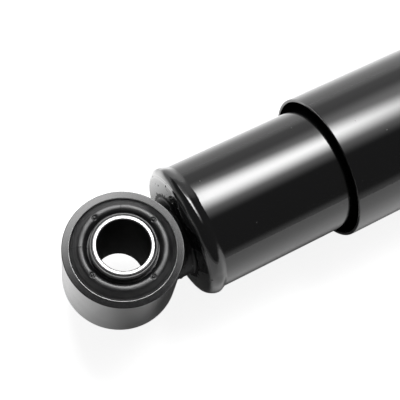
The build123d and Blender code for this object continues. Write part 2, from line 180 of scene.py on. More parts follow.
class Shader:
    """A node tree and the few things that a finish needs of it."""

    def __init__(self, tree):
        self.tree = tree
        self.bsdf = tree.nodes.get("Principled BSDF")

    def add(self, kind, settings=None, inputs=None):
        node = self.tree.nodes.new(kind)
        for name, value in (settings or {}).items():
            setattr(node, name, value)
        for name, value in (inputs or {}).items():
            self.feed(node.inputs[name], value)
        return Outputs(self, node)

    def feed(self, socket, value):
        if isinstance(value, Value):
            self.tree.links.new(value.socket, socket)
        elif isinstance(value, tuple) and len(value) == 3 and socket.type == "RGBA":
            socket.default_value = (*value, 1.0)
        else:
            socket.default_value = value

    def place(self):
        """Where a point is on the object, in metres."""
        return self.add("ShaderNodeTexCoord")["Object"]

    def xyz(self, vector):
        parts = self.add("ShaderNodeSeparateXYZ", {}, {"Vector": vector})
        return parts["X"], parts["Y"], parts["Z"]

    def noise(self, size, detail):
        """Soft cloudy noise from 0 to 1, whose blobs are about size metres across."""
        inputs = {"Vector": self.place(), "Scale": 1 / size, "Detail": detail}
        return self.add("ShaderNodeTexNoise", {}, inputs)["Fac"]

    def cells(self, size):
        """Distance to the nearest of the points strewn about size metres apart, in cells."""
        inputs = {"Vector": self.place(), "Scale": 1 / size}
        return self.add("ShaderNodeTexVoronoi", {}, inputs)["Distance"]

    def mix(self, share, first, second):
        """A colour between two colours."""
        settings = {"data_type": "RGBA"}
        node = self.add("ShaderNodeMix", settings).node
        self.feed(node.inputs["Factor"], share)
        colors = [s for s in node.inputs if s.type == "RGBA"]
        self.feed(colors[0], first)
        self.feed(colors[1], second)
        return Value(self, [s for s in node.outputs if s.type == "RGBA"][0])

    def bump(self, height, depth):
        """A normal for a height from 0 to 1 that stands for depth metres."""
        inputs = {"Height": height, "Distance": depth, "Strength": 1.0}
        return self.add("ShaderNodeBump", {}, inputs)["Normal"]

    def finish(self, **sockets):
        """Sets the surface's sockets. Underlines stand for the spaces in their names."""
        for name, value in sockets.items():
            self.feed(self.bsdf.inputs[name.replace("_", " ")], value)


def new_finish(name):
    material = bpy.data.materials.new(name)
    material.use_nodes = True
    return material, Shader(material.node_tree)


FINISHES = {}
print("ready for the finishes")

# %% [markdown]
# ## Gloss black paint
#
# The tubes and caps are stove-enamelled. Up close such paint has a faint orange-peel ripple a
# few millimetres long, a little haze that varies, and here and there a nib of dust caught
# under the coat. A coat layer over a black base gives the deep mirror-like gloss. On the caps
# the heat of the eye's weld left scale round the boss, with a ragged edge, and the paint over
# it stays matt.

# %% Paint for the tubes and caps
SCORCH_RADIUS = 21.3 * MM
SCORCH_EDGE = 0.6 * MM
SCORCH_FRAY = 6.0 * MM
NIB_SIZE = 0.06
NIB_CLOUD = 0.54


def gloss_black_paint(name="gloss_black_paint", scorched=False):
    material, s = new_finish(name)
    peel = s.noise(3.2 * MM, detail=1.0)
    haze = s.noise(18 * MM, detail=3.0)
    off_speck = s.cells(5.5 * MM)
    pick = s.noise(9 * MM, detail=0.0)
    nib = (NIB_SIZE - off_speck).ramp(0.0, NIB_SIZE / 2) * (pick > NIB_CLOUD)
    scale, coat, base_ior, coat_ior = 0.0, 1.0, 1.5, 1.6
    if scorched:
        _, y, z = s.xyz(s.place())
        fray = (s.noise(1.6 * MM, detail=4.0) - 0.5) * SCORCH_FRAY
        crust = s.noise(0.8 * MM, detail=3.0)
        off_axis = (y * y + z * z) ** 0.5 + fray
        burnt = 1 - off_axis.ramp(SCORCH_RADIUS, SCORCH_RADIUS + SCORCH_EDGE)
        scale = burnt * (crust * 0.3 + 0.7)
        coat, base_ior, coat_ior = 1 - scale, 1.2, 1.8
    s.finish(
        Base_Color=s.mix(nib * 0.7, (0.0045, 0.0045, 0.005), (0.3, 0.3, 0.29)),
        Roughness=haze * 0.05 + 0.085 + nib * 0.25 + scale * 0.55,
        Normal=s.bump(peel * 0.02 + nib * 0.5 + scale * 0.4, 0.1 * MM),
        IOR=base_ior,
        Coat_Weight=coat,
        Coat_Roughness=0.045,
        Coat_IOR=coat_ior,
    )
    return material


FINISHES["gloss_black_paint"] = gloss_black_paint()
FINISHES["scorched_paint"] = gloss_black_paint("scorched_paint", scorched=True)
print("gloss paint, plain and scorched")

# %% [markdown]
# The same paint over a hand-made weld is broken up: scale and soot under it make it nearly
# matt, and only here and there is enough of its coat left to glint.

# %% Paint over the welds


def weld_paint():
    material, s = new_finish("weld_paint")
    crust = s.noise(0.7 * MM, detail=4.0)
    soot = s.noise(3.5 * MM, detail=3.0).ramp(0.4, 0.65)
    s.finish(
        Base_Color=s.mix(soot * crust, (0.004, 0.004, 0.004), (0.02, 0.02, 0.019)),
        Roughness=soot * 0.3 + crust * 0.3 + 0.36,
        Normal=s.bump(crust, 0.12 * MM),
        IOR=1.2,
        Coat_Weight=0.16 - soot * 0.14,
        Coat_Roughness=0.08,
        Coat_IOR=1.6,
    )
    return material


FINISHES["weld_paint"] = weld_paint()
print("paint over the welds")

# %% [markdown]
# ## Satin paint on the eyes
#
# The eye is a sawn ring of tube. Its paint is thinner and less glossy than the tubes', and the
# turned face shows through as very fine rings about the bolt axis. Along the bore's edge a thin
# line is painted as bright bare steel: a painted highlight on the edge.

# %% Paint for the eye rings
# where the painted highlight along the bore's edge ends
EDGE_HIGHLIGHT_RADIUS = half_size("lower_bush_rubber").x + 0.18 * MM
SAW_PITCH = 0.35 * MM


def radius_about(shader, centre):
    """Distance from an upright axis through a point, in metres."""
    x, y, _ = shader.xyz(shader.place())
    across = x - centre.x
    along = y - centre.y
    return (across * across + along * along) ** 0.5


def satin_black_paint(name, centre):
    material, s = new_finish(name)
    radius = radius_about(s, centre)
    rings = (radius * (2 * math.pi / SAW_PITCH)).sine() * 0.5 + 0.5
    mottle = s.noise(2.2 * MM, detail=3.0)
    grain = s.noise(0.5 * MM, detail=1.0)
    # painted highlight: a thin band at the bore's edge painted as bright bare steel
    bore_edge_highlight = 1 - radius.ramp(EDGE_HIGHLIGHT_RADIUS, EDGE_HIGHLIGHT_RADIUS + (mottle * 0.3 + 0.1) * MM)
    black = s.mix(mottle, (0.008, 0.008, 0.009), (0.02, 0.02, 0.021))
    s.finish(
        Base_Color=s.mix(bore_edge_highlight, black, (0.5, 0.5, 0.5)),
        Metallic=bore_edge_highlight * 0.7,
        Roughness=mottle * 0.08 + 0.07,
        Normal=s.bump(rings * 0.12 + grain * 0.5 + mottle * 0.4, 0.007 * MM),
        IOR=1.5,
        Coat_Weight=1.0,
        Coat_Roughness=0.05,
        Coat_IOR=1.6,
    )
    return material


for end, centre in EYES.items():
    FINISHES[f"{end} satin_black_paint"] = satin_black_paint(f"{end}_eye_paint", centre)
print("satin paint about each eye's axis")

# %% [markdown]
# ## Bright zinc on the sleeves
#
# The sleeve is cut from drawn tube and plated. Its faces keep the tool's circular scratches,
# which spread a highlight into a soft ring. Inside, the bore is painted near black, matt and
# not metallic: painted shade for the dark in the bore.

# %% Plating for the sleeves
BORE_RADIUS = 12.0 * MM
TOOL_PITCH = 0.22 * MM


def zinc_steel(name, centre):
    material, s = new_finish(name)
    radius = radius_about(s, centre)
    # painted shade: inside the bore the plating is painted near black, matt and not metallic
    bore_shade = 1 - radius.ramp(BORE_RADIUS + 0.05 * MM, BORE_RADIUS + 0.25 * MM)
    rings = (radius * (2 * math.pi / TOOL_PITCH)).sine() * 0.5 + 0.5
    chatter = s.noise(0.9 * MM, detail=3.0)
    stain = s.noise(6 * MM, detail=3.0)
    plate = s.mix(stain.ramp(0.35, 0.75), (0.80, 0.80, 0.80), (0.66, 0.66, 0.665))
    s.finish(
        Base_Color=s.mix(bore_shade, plate, (0.006, 0.006, 0.006)),
        Metallic=1 - bore_shade,
        Roughness=chatter * 0.14 + stain * 0.1 + 0.2 + bore_shade * 0.35,
        Normal=s.bump(rings * 0.35 + chatter * 0.65, 0.012 * MM),
    )
    return material


for end, centre in EYES.items():
    FINISHES[f"{end} zinc_steel"] = zinc_steel(f"{end}_sleeve_zinc", centre)
print("zinc about each eye's axis")

# %% [markdown]
# ## Bush rubber
#
# Moulded rubber is nearly black but never quite: a grey bloom comes to the surface, most where
# the part is handled. Fine pores break up its sheen.

# %% Rubber for the bushes and seals


def moulded_rubber(name, dark, bloom, roughness):
    material, s = new_finish(name)
    cloud = s.noise(4 * MM, detail=4.0)
    pores = s.noise(0.35 * MM, detail=2.0)
    dust = (0.09 - s.cells(2.4 * MM)).ramp(0.0, 0.05)
    s.finish(
        Base_Color=s.mix(cloud.ramp(0.35, 0.8) * 0.7 + dust * 0.25, dark, bloom),
        Roughness=cloud * 0.14 + roughness,
        Normal=s.bump(pores * 0.6 + dust * 0.4, 0.03 * MM),
        IOR=1.55,
        Coat_Weight=1.0,
        Coat_Roughness=0.36,
        Coat_IOR=1.6,
    )
    return material


RUBBERS = {
    "bush_rubber": ((0.011, 0.011, 0.012), (0.045, 0.045, 0.046), 0.34),
    "seal_rubber": ((0.01, 0.01, 0.01), (0.03, 0.03, 0.03), 0.42),
}
for name, values in RUBBERS.items():
    FINISHES[name] = moulded_rubber(name, *values)
print("rubbers:", ", ".join(RUBBERS))

# %% [markdown]
# ## Inner steels
#
# Nobody sees these until the damper is taken apart, but a stranger may open the model. Turned
# pieces have fine grooves round the X axis, so their pattern repeats along X and outwards.

# %% Turned and sintered metals


def turned_metal(name, color, darker, roughness, groove, depth, metallic):
    material, s = new_finish(name)
    x, y, z = s.xyz(s.place())
    radius = (y * y + z * z) ** 0.5
    grooves = ((x + radius) * (2 * math.pi / groove)).sine() * 0.5 + 0.5
    stain = s.noise(5 * MM, detail=4.0)
    s.finish(
        Base_Color=s.mix(stain, color, darker),
        Metallic=metallic,
        Roughness=stain * 0.12 + roughness,
        Normal=s.bump(grooves * 0.6 + stain * 0.4, depth),
    )
    return material


def grainy_metal(name, color, pit, grain_size):
    material, s = new_finish(name)
    grain = s.noise(grain_size, detail=3.0)
    pores = (0.3 - s.cells(2 * grain_size)).ramp(0.0, 0.15)
    s.finish(
        Base_Color=s.mix(pores * 0.8, s.mix(grain, color, tuple(0.7 * c for c in color)), pit),
        Metallic=0.9,
        Roughness=grain * 0.2 + 0.38,
        Normal=s.bump(1 - pores * 0.7 + grain * 0.3, 0.04 * MM),
    )
    return material


print("turned metals have grooves, sintered ones have pores")

# %% [markdown]
# Each row gives a colour, its darker stain, the roughness, the grooves' pitch and their depth.

# %% The inner metals
TURNED = {
    "chrome_rod": ((0.82, 0.82, 0.84), (0.78, 0.78, 0.8), 0.03, 0.15 * MM, 0.0008 * MM),
    "bright_steel": ((0.62, 0.62, 0.62), (0.5, 0.5, 0.51), 0.2, 0.3 * MM, 0.008 * MM),
    "spring_steel": ((0.30, 0.32, 0.38), (0.2, 0.21, 0.27), 0.28, 0.25 * MM, 0.004 * MM),
    "bearing_bronze": ((0.62, 0.41, 0.2), (0.45, 0.29, 0.14), 0.26, 0.3 * MM, 0.006 * MM),
    "low_friction_band": ((0.09, 0.05, 0.03), (0.05, 0.03, 0.02), 0.4, 0.4 * MM, 0.01 * MM),
}
for name, values in TURNED.items():
    metallic = 0.0 if name == "low_friction_band" else 1.0
    FINISHES[name] = turned_metal(name, *values, metallic)
iron = ((0.3, 0.3, 0.3), (0.05, 0.05, 0.05), 0.3 * MM)
FINISHES["sintered_iron"] = grainy_metal("sintered_iron", *iron)
print(len(FINISHES), "finishes")

# %% [markdown]
# ## Putting the finishes on
#
# The record names a slot for every solid, so one loop dresses them all. The eye paint and the
# zinc have rings about their own eye, so each end has its own, and the caps get the scorched
# version of the gloss paint.

# %% Dress every solid


def finish_for(node, slot):
    if node.endswith("end_cap"):
        return FINISHES["scorched_paint"]
    end = node.split("_")[0]
    return FINISHES.get(f"{end} {slot}") or FINISHES[slot]


for row in frame["record"]["subparts"]:
    piece = nodes[row["node"]]
    material = finish_for(row["node"], row["material_slot"])
    piece.data.materials.clear()
    piece.data.materials.append(material)
print("dressed", len(frame["record"]["subparts"]), "solids")

# %% [markdown]
# ## Copying a solid's own shape
#
# The next pieces stand in for a solid, so their sizes have to be its sizes. A turned solid is
# known by its section: a plane through its axis cuts it, and a walk along the cut gives the
# section's points.

# %% Cut a section
ABOUT_BOLT = Matrix.Identity(3)
ABOUT_TUBE = Matrix(((0, 0, 1), (1, 0, 0), (0, 1, 0)))
CUT_ANGLE = math.radians(7)
SAME_POINT = 0.001 * MM


def section(node, centre, about):
    """(radius, place along the axis) of the points round a turned solid's section, in order."""
    turn = Matrix.Rotation(CUT_ANGLE, 3, about.col[2])
    outwards = turn @ about.col[0]
    mesh = bmesh.new()
    mesh.from_mesh(nodes[node].data)
    bmesh.ops.remove_doubles(mesh, verts=mesh.verts, dist=SAME_POINT)
    whole = mesh.verts[:] + mesh.edges[:] + mesh.faces[:]
    plane = {"plane_co": centre, "plane_no": turn @ about.col[1]}
    cut = bmesh.ops.bisect_plane(mesh, geom=whole, **plane)["geom_cut"]
    linked = {}
    for edge in cut:
        if isinstance(edge, bmesh.types.BMEdge) and (edge.verts[0].co - centre).dot(outwards) > 0:
            for vertex in edge.verts:
                linked.setdefault(vertex, []).append(edge.other_vert(vertex))
    start = next(iter(linked))
    path = [start]
    onward = linked[start][0]
    while onward is not start:
        path.append(onward)
        behind, ahead = linked[onward]
        onward = behind if ahead is path[-2] else ahead
    from_centre = [vertex.co - centre for vertex in path]
    points = [(p.dot(outwards), p.dot(about.col[2])) for p in from_centre]
    mesh.free()
    return points


def finer(points, step, chosen):
    """The same outline with the chosen ones of its sides divided into short ones."""
    out = []
    for here, there in zip(points, points[1:] + points[:1]):
        here, there = Vector(here), Vector(there)
        shares = math.ceil((there - here).length / step) if chosen((here + there) / 2) else 1
        out += [here.lerp(there, i / max(shares, 1)) for i in range(max(shares, 1))]
    return out


print("section of a bush:", len(section("lower_bush_rubber", EYES["lower"], ABOUT_BOLT)), "points")

# %% [markdown]
# Turning those points about the axis again, each moved a little first, gives the same body with
# the unevenness that a mould or a weld leaves. Every piece rides the body of the solid that it
# stands for.

# %% Turn it and make a piece
BODY_OF = {
    "lower": "cylinder",
    "upper": "rod_assembly",
    "intake": "cylinder",
    "check": "rod_assembly",
}
SHARP_ANGLE = math.radians(50)


def skin(mesh, rings):
    """Faces between each closed ring of points and the next, and from the last to the first."""
    for ring, following in zip(rings, rings[1:] + rings[:1]):
        for i in range(len(ring)):
            mesh.faces.new((ring[i - 1], ring[i], following[i], following[i - 1]))
    bmesh.ops.recalc_face_normals(mesh, faces=mesh.faces)


def turned(outline, angles, centre, about, shape):
    """A closed mesh: the outline at each angle, its points moved by shape(radius, along, angle)."""
    mesh = bmesh.new()
    rings = []
    for angle in angles:
        moved = [shape(radius, along, angle) for radius, along in outline]
        ring = [(r * math.cos(angle), r * math.sin(angle), along) for r, along in moved]
        rings.append([mesh.verts.new(about @ Vector(point) + centre) for point in ring])
    skin(mesh, rings)
    return mesh


def new_piece(name, mesh, material, slot, *replaced):
    """An object from a mesh. The first word of its name says which body it rides."""
    data = bpy.data.meshes.new(name)
    mesh.to_mesh(data)
    mesh.free()
    data.materials.append(material)
    data.polygons.foreach_set("use_smooth", [True] * len(data.polygons))
    data.set_sharp_from_angle(angle=SHARP_ANGLE)
    piece = bpy.data.objects.new(name, data)
    bpy.context.scene.collection.objects.link(piece)
    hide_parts(*replaced)
    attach(piece, BODY_OF[name.split("_")[0]])
    return piece


print("pieces ride", " and ".join(sorted(set(BODY_OF.values()))))

# %% [markdown]
# ## The moulded bushes
#
# Rubber is pressed into the bush's mould through four gates. Each leaves a round mark on the
# ridge: a small sunk ring with the torn-off stub in its middle. Where the mould's parts meet
# there is a fine raised line. The ridge also slumps a little towards the sleeve as it cools.
# The columns of the mesh stand close together only at the marks.

# %% Bushes with gate marks and parting lines
GATE_ANGLES = [17, 107, 197, 287]
GATE_RADIUS = 18.8 * MM
GATE_RING_RADIUS = 0.85 * MM
GATE_RING_WIDTH = 0.36 * MM
GATE_DEPTH = 0.42 * MM
PARTING_ANGLES = [66, 153]
PARTING_WIDTH = 0.22 * MM
PARTING_HEIGHT = 0.1 * MM
RUBBER_WAVE = 0.06 * MM
RUBBER_WAVE_SIZE = 4 * MM
RIDGE_MARGIN = 2 * MM
RIDGE_SLUMP = 0.6 * MM
RIDGE_FADE = 2.5 * MM
RIDGE_STEP = 0.3 * MM
MARK_REACH = 5
FINE_STEP = 0.6
COARSE_STEP = 2.5


def round_steps(close_to, reach, fine, coarse):
    """Angles round a circle, in fine steps near some of them and coarse ones elsewhere."""
    angles, angle = [], 0.0
    while angle < 360 - fine:
        angles.append(math.radians(angle))
        near = any(abs((angle - a + 180) % 360 - 180) < reach for a in close_to)
        angle += fine if near else coarse
    return angles


def swelling(distance, width):
    """A smooth hump of height 1 that has died away at about twice its width."""
    return math.exp(-((distance / width) ** 2))


def mould_marks(radius, angle):
    """How far the marks lift the ridge's surface at a place, in metres."""
    lift = 0.0
    for gate in map(math.radians, GATE_ANGLES):
        across = radius * math.sin(angle - gate)
        along = radius * math.cos(angle - gate) - GATE_RADIUS
        away = math.hypot(across, along)
        lift -= GATE_DEPTH * swelling(away - GATE_RING_RADIUS, GATE_RING_WIDTH)
    for line in map(math.radians, PARTING_ANGLES):
        if math.cos(angle - line) > 0:
            lift += PARTING_HEIGHT * swelling(radius * math.sin(angle - line), PARTING_WIDTH)
    return lift


def moulded_bush(end):
    node = f"{end}_bush_rubber"
    face = half_size(f"{end}_eye_ring").z
    collar = half_size(f"{end}_inner_sleeve").x + RIDGE_MARGIN
    rim = half_size(node).x - RIDGE_MARGIN

    def on_ridge(radius, along):
        return abs(along) > face and radius > collar

    def shape(radius, along, angle):
        if not on_ridge(radius, along):
            return radius, along
        slump = min(max((rim - radius) / RIDGE_FADE, 0.0), 1.0)
        radius -= RIDGE_SLUMP * slump
        side = math.copysign(1.0, along)
        spot = Vector((radius * math.cos(angle), radius * math.sin(angle), along))
        lift = RUBBER_WAVE * noise.noise(spot / RUBBER_WAVE_SIZE)
        if side > 0:
            lift += mould_marks(radius, angle)
        return radius, along + side * lift

    outline = finer(section(node, EYES[end], ABOUT_BOLT), RIDGE_STEP, lambda p: on_ridge(*p))
    angles = round_steps(GATE_ANGLES + PARTING_ANGLES, MARK_REACH, FINE_STEP, COARSE_STEP)
    mesh = turned(outline, angles, EYES[end], ABOUT_BOLT, shape)
    return new_piece(f"{end}_bush", mesh, FINISHES["bush_rubber"], "bush_rubber", node)


for end in EYES:
    print(moulded_bush(end).name, "replaces the plain rubber")

# %% [markdown]
# ## Eye rings
#
# A solid's chamfer is flat, so it catches one direction of light only. The real ring's edges
# were tumbled round before painting, and each draws a thin bright line all the way along. Its
# wall, cut from thick tube, is never quite true either. So the ring is turned once more, from
# an outline with rounded corners, and waved very slightly. A point just before and just after
# each corner keeps the flat sides flat under smooth shading.

# %% Rings with rounded edges
EDGE_ROUND = 0.32 * MM
EDGE_STEPS = 5
EDGE_GUARD = 0.08 * MM
RING_WAVE = 0.05 * MM
RING_WAVE_SIZE = 9 * MM
RING_SIDE_STEP = 2.5 * MM
RING_STEPS = 220


def rounded_outline(low, high):
    """A rectangle from one corner to the other, with its corners rounded."""
    corners = [(low, low), (high, low), (high, high), (low, high)]
    out = []
    for i, (across, along) in enumerate(corners):
        x = across[0] + (EDGE_ROUND if across is low else -EDGE_ROUND)
        y = along[1] + (EDGE_ROUND if along is low else -EDGE_ROUND)
        arc = []
        for step in range(EDGE_STEPS + 1):
            angle = math.pi * (1 + i / 2) + math.pi / 2 * step / EDGE_STEPS
            arc.append(Vector((x + EDGE_ROUND * math.cos(angle), y + EDGE_ROUND * math.sin(angle))))
        onward = Vector((-math.sin(angle), math.cos(angle))) * EDGE_GUARD
        before = Vector((-onward.y, onward.x))
        out += [arc[0] + before, *arc, arc[-1] + onward]
    return out


def ring_of_eye(end):
    node = f"{end}_eye_ring"
    size = half_size(node)
    bore = half_size(f"{end}_bush_rubber").x

    def shape(radius, along, angle):
        if radius < bore + EDGE_ROUND:
            return radius, along
        spot = Vector((radius * math.cos(angle), radius * math.sin(angle), along))
        return radius + RING_WAVE * (noise.noise(spot / RING_WAVE_SIZE) - 0.5), along

    outline = rounded_outline((bore, -size.z), (size.x, size.z))
    outline = finer(outline, RING_SIDE_STEP, lambda p: p[0] > bore + MM)
    angles = [2 * math.pi * i / RING_STEPS for i in range(RING_STEPS)]
    mesh = turned(outline, angles, EYES[end], ABOUT_BOLT, shape)
    finish = FINISHES[f"{end} satin_black_paint"]
    return new_piece(f"{end}_ring", mesh, finish, "satin_black_paint", node)


for end in EYES:
    print(ring_of_eye(end).name, "has rounded edges")

# %% [markdown]
# ## Seam beads
#
# A machine turns the tube under its torch, so the seam is even, yet its height wanders a little
# and each drop of the melt leaves a shallow crescent. The melt also washes over the cap's rim,
# so a smooth hump that leaves the cap's round shoulder along its slope is turned about the
# tube, with both added. It keeps the solid bead's height, and its toe runs out smoothly on the
# tube, but its crest drifts to and fro a little round it. Where the bead runs over its own
# start it is thicker.

# %% Seams round the tubes
SEAM_RIPPLES = 118
SEAM_RIPPLE_HEIGHT = 0.006 * MM
SEAM_CRESCENT = 1.4 * MM
SEAM_WANDER = 0.38 * MM
SEAM_WANDER_COUNT = 4.5
SEAM_WANDER_LENGTH = 30 * MM
SEAM_WANDER_LOW = 0.35
SEAM_LAP_ANGLE = math.radians(215)
SEAM_LAP_WIDTH = math.radians(5)
SEAM_LAP_HEIGHT = 0.35 * MM
SEAM_CREST_PLACE = 0.2 * MM
SEAM_DRIFT = 1.2 * MM
SEAM_DRIFT_ANGLE = math.radians(230)
SEAM_TOE_SHORT = 0.8 * MM
SEAM_TOE_SINK = 0.05 * MM
SEAM_UNDERSIDE = 0.5 * MM
SEAM_POINTS = 13
SEAM_STEPS = 5 * SEAM_RIPPLES
SHOULDER_ROUND = 3.3 * MM
SHOULDER_END = 1.0 * MM
SHOULDER_SLOPE = math.radians(45)
SHOULDER_SLOPE_CHANGE = math.radians(14)


def seam_bead(end):
    node = f"{end}_seam_weld"
    tube = "reserve_tube" if end == "lower" else "dust_cover"
    inwards = 1 if end == "lower" else -1
    centre = middle(node)
    size = half_size(node)
    shoulder = half_size(f"{end}_end_cap").z - SHOULDER_ROUND
    foot = Vector((half_size(tube).z - SEAM_TOE_SINK, size.x - SEAM_TOE_SHORT))

    def shape(depth, share, angle):
        """From -1 on the shoulder through 0 on the crest to 1 at the foot, less the depth."""
        drift = math.cos(angle - SEAM_DRIFT_ANGLE)
        crest = Vector((size.z, SEAM_CREST_PLACE - size.x + SEAM_DRIFT * drift))
        slope = SHOULDER_SLOPE - SHOULDER_SLOPE_CHANGE * drift
        rise = Vector((shoulder, -size.x - SHOULDER_END))
        rise += SHOULDER_ROUND * Vector((math.cos(slope), -math.sin(slope)))
        side = (rise if share < 0 else foot) - crest
        fall = share**2 if share < 0 else share**2 * (2 - share**2)
        radius = crest[0] + side[0] * fall - depth
        along = crest[1] + side[1] * abs(share)
        crescent = SEAM_RIPPLES * angle + (along / SEAM_CRESCENT) ** 2
        spot = Vector((math.cos(angle), math.sin(angle), along / SEAM_WANDER_LENGTH))
        wander = SEAM_WANDER * (noise.noise(spot * SEAM_WANDER_COUNT) - SEAM_WANDER_LOW)
        lap = SEAM_LAP_HEIGHT * swelling(angle - SEAM_LAP_ANGLE, SEAM_LAP_WIDTH)
        radius += (1 - share * share) * (wander + SEAM_RIPPLE_HEIGHT * math.sin(crescent) + lap)
        return radius, along * inwards

    outline = [(0.0, i / SEAM_POINTS) for i in range(-SEAM_POINTS, SEAM_POINTS + 1)]
    outline += [(SEAM_UNDERSIDE, 1.0), (SEAM_UNDERSIDE, -1.0)]
    angles = [math.radians(i * 360 / SEAM_STEPS) for i in range(SEAM_STEPS)]
    mesh = turned(outline, angles, centre, ABOUT_TUBE, shape)
    return new_piece(f"{end}_seam", mesh, FINISHES["gloss_black_paint"], "gloss_black_paint", node)


for end in EYES:
    print(seam_bead(end).name, "has", SEAM_RIPPLES, "ripples")

# %% [markdown]
# ## Eye welds
#
# The eyes are welded on by hand, which leaves a coarse bead in the corner between the eye's
# round wall and the cap's round boss. That corner is a saddle-shaped curve, and at each of its
# points the two surfaces' normals give the plane of the bead's section. A circle there would
# make a smooth hose, so its radius swells and shrinks by three sizes of noise, and by the
# crescents of the freezing melt. The eye's face was clean when it was welded, so the bead keeps
# below the face's edge. It is thinner at the boss's sides, where the corner is open.

# %% Welds between eye and cap
WELD_LEG = 2.5 * MM
WELD_RADIUS = 2.0 * MM
WELD_RISE = 0.5 * MM
WELD_THINNING = 0.5 * MM
WELD_STEPS = 340
WELD_LUMPS = ((9 * MM, 0.7 * MM), (2.6 * MM, 0.55 * MM), (0.9 * MM, 0.16 * MM))
WELD_RIPPLES = 58
WELD_RIPPLE_HEIGHT = 0.07 * MM
WELD_CRESCENT = 1.5
WELD_FACE_GAP = 0.7 * MM
WELD_SECTION = [*range(-120, 121, 10), 150, 180, 210]


def eye_weld(end):
    node = f"{end}_eye_weld"
    inwards = 1 if end == "lower" else -1
    eye = half_size(f"{end}_eye_ring")
    boss = half_size(node).z - WELD_LEG
    mesh = bmesh.new()
    rings = []
    for step in range(WELD_STEPS):
        angle = 2 * math.pi * step / WELD_STEPS
        off_boss = Vector((0, math.cos(angle), math.sin(angle)))
        y = boss * off_boss.y
        x = inwards * math.sqrt(eye.x**2 - y**2)
        off_eye = Vector((x, y, 0)) / eye.x
        outwards = (off_boss + off_eye).normalized()
        aside = off_eye.cross(off_boss).cross(outwards).normalized()
        heart = Vector((x, y, boss * off_boss.z)) + outwards * WELD_RISE
        ring = []
        for turn in map(math.radians, WELD_SECTION):
            ray = outwards * math.cos(turn) + aside * math.sin(turn)
            spot = heart + ray * (WELD_RADIUS - WELD_THINNING * off_boss.y**2)
            swell = sum(height * noise.noise(spot / size) for size, height in WELD_LUMPS)
            crescent = WELD_RIPPLES * angle + WELD_CRESCENT * turn**2
            swell += WELD_RIPPLE_HEIGHT * math.sin(crescent)
            spot = spot + ray * swell
            clear = max(math.hypot(spot.x, spot.y) - eye.x, 0.0)
            top = eye.z - WELD_FACE_GAP + clear
            spot.z = min(max(spot.z, -top), top)
            ring.append(mesh.verts.new(spot + EYES[end]))
        rings.append(ring)
    skin(mesh, rings)
    return new_piece(f"{end}_weld", mesh, FINISHES["weld_paint"], "gloss_black_paint", node)


for end in EYES:
    print(eye_weld(end).name, "is uneven")

# %% [markdown]
# ## Spatter
#
# Welding throws off drops that freeze where they land, most of them close by. Each is a small
# ball, squashed and uneven, and sunk into the cap where a ray from the eye's side meets it.

# %% Drops on the caps
SPATTER_COUNT = 90
SPATTER_SMALLEST = 0.16 * MM
SPATTER_LARGEST = 0.62 * MM
SPATTER_NEAREST = 0.6
DROP_POINTS = 42
DROP_SINK = 0.15
DROP_LUMP = 0.25


def drop(mesh, place, normal, size):
    squash = Matrix.Diagonal((random.uniform(0.8, 1.3), 1.0, 0.6, 1.0))
    turn = normal.to_track_quat("Z", "Y").to_matrix().to_4x4()
    spin = Matrix.Rotation(random.uniform(0, 2 * math.pi), 4, "Z")
    where = Matrix.Translation(place - normal * size * DROP_SINK) @ turn @ spin @ squash
    made = bmesh.ops.create_icosphere(mesh, subdivisions=2, radius=size, matrix=where)
    for vertex in made["verts"]:
        vertex.co += normal * size * DROP_LUMP * noise.noise(vertex.co / size)


def spatter(end):
    node = f"{end}_end_cap"
    solid = bmesh.new()
    solid.from_mesh(nodes[node].data)
    surface = bvhtree.BVHTree.FromBMesh(solid)
    inwards = Vector((1.0 if end == "lower" else -1.0, 0, 0))
    rim = half_size(node).z
    mesh = bmesh.new()
    while len(mesh.verts) < SPATTER_COUNT * DROP_POINTS:
        angle = random.uniform(0, 2 * math.pi)
        radius = rim * (SPATTER_NEAREST + (1 - SPATTER_NEAREST) * random.random() ** 1.6)
        across = Vector((0, radius * math.cos(angle), radius * math.sin(angle)))
        place, normal, _, _ = surface.ray_cast(EYES[end] + across, inwards)
        if place:
            share = random.random() ** 3
            size = SPATTER_SMALLEST + (SPATTER_LARGEST - SPATTER_SMALLEST) * share
            drop(mesh, place, normal, size)
    solid.free()
    return new_piece(f"{end}_spatter", mesh, FINISHES["gloss_black_paint"], "gloss_black_paint")


for end in EYES:
    print(spatter(end).name, "drops:", SPATTER_COUNT)

# %% [markdown]
# ## Valve springs
#
# Each valve plate lifts against a thin coned spring. The spring is a copy of its solid in
# spring steel, and keeps the solid's shape.

# %% Springs


def valve_spring(valve):
    node = f"{valve}_spring"
    low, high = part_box(node)
    joints = {joint["name"]: joint for joint in frame["record"]["behaviour"]["joints"]}
    lift = joints[f"{valve}_lift"]["range_m"][1]
    mesh = bmesh.new()
    mesh.from_mesh(nodes[node].data)
    piece = new_piece(f"{valve}_cone", mesh, FINISHES["spring_steel"], "spring_steel", node)
    keep = 1 - lift / (high.x - low.x)
    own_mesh(piece)
    return keep


for valve in ("intake", "check"):
    print(valve, "spring keeps", round(valve_spring(valve), 2), "of its height")

# %% [markdown]
# ## The floor
#
# The damper lies on white. A floor that is only lit would come out grey here and there, so its
# white is painted for the camera and for reflections, and daylight on it adds the soft shadow.
# The reflected white is a painted pool of light, brightest towards the back left. Under the
# damper it is dark, a painted shadow, and beyond the lower eye it is half bright.

# %% White floor
FLOOR_HALF_SIZE = 4.0
BACK_EDGE = (-0.03, 0.03)
LEFT_EDGE = (-0.02, 0.05)
PAINTED_SHADOW_EDGE = (0.03, 0.055)
NEAR_EDGE = (0.05, 0.2)
BEYOND_EDGE = (-0.045, 0.0)
FRONT_EDGE = (-0.03, 0.03)
FLOOR_GLOW = 3.0
SEEN_WHITE = 0.86
LEFT_WHITE = 1.8
BACK_WHITE = 0.3
NEAR_WHITE = 0.1
FRONT_WHITE = 0.22
FRONT_LEAST = 0.3
BEYOND_WHITE = 0.5


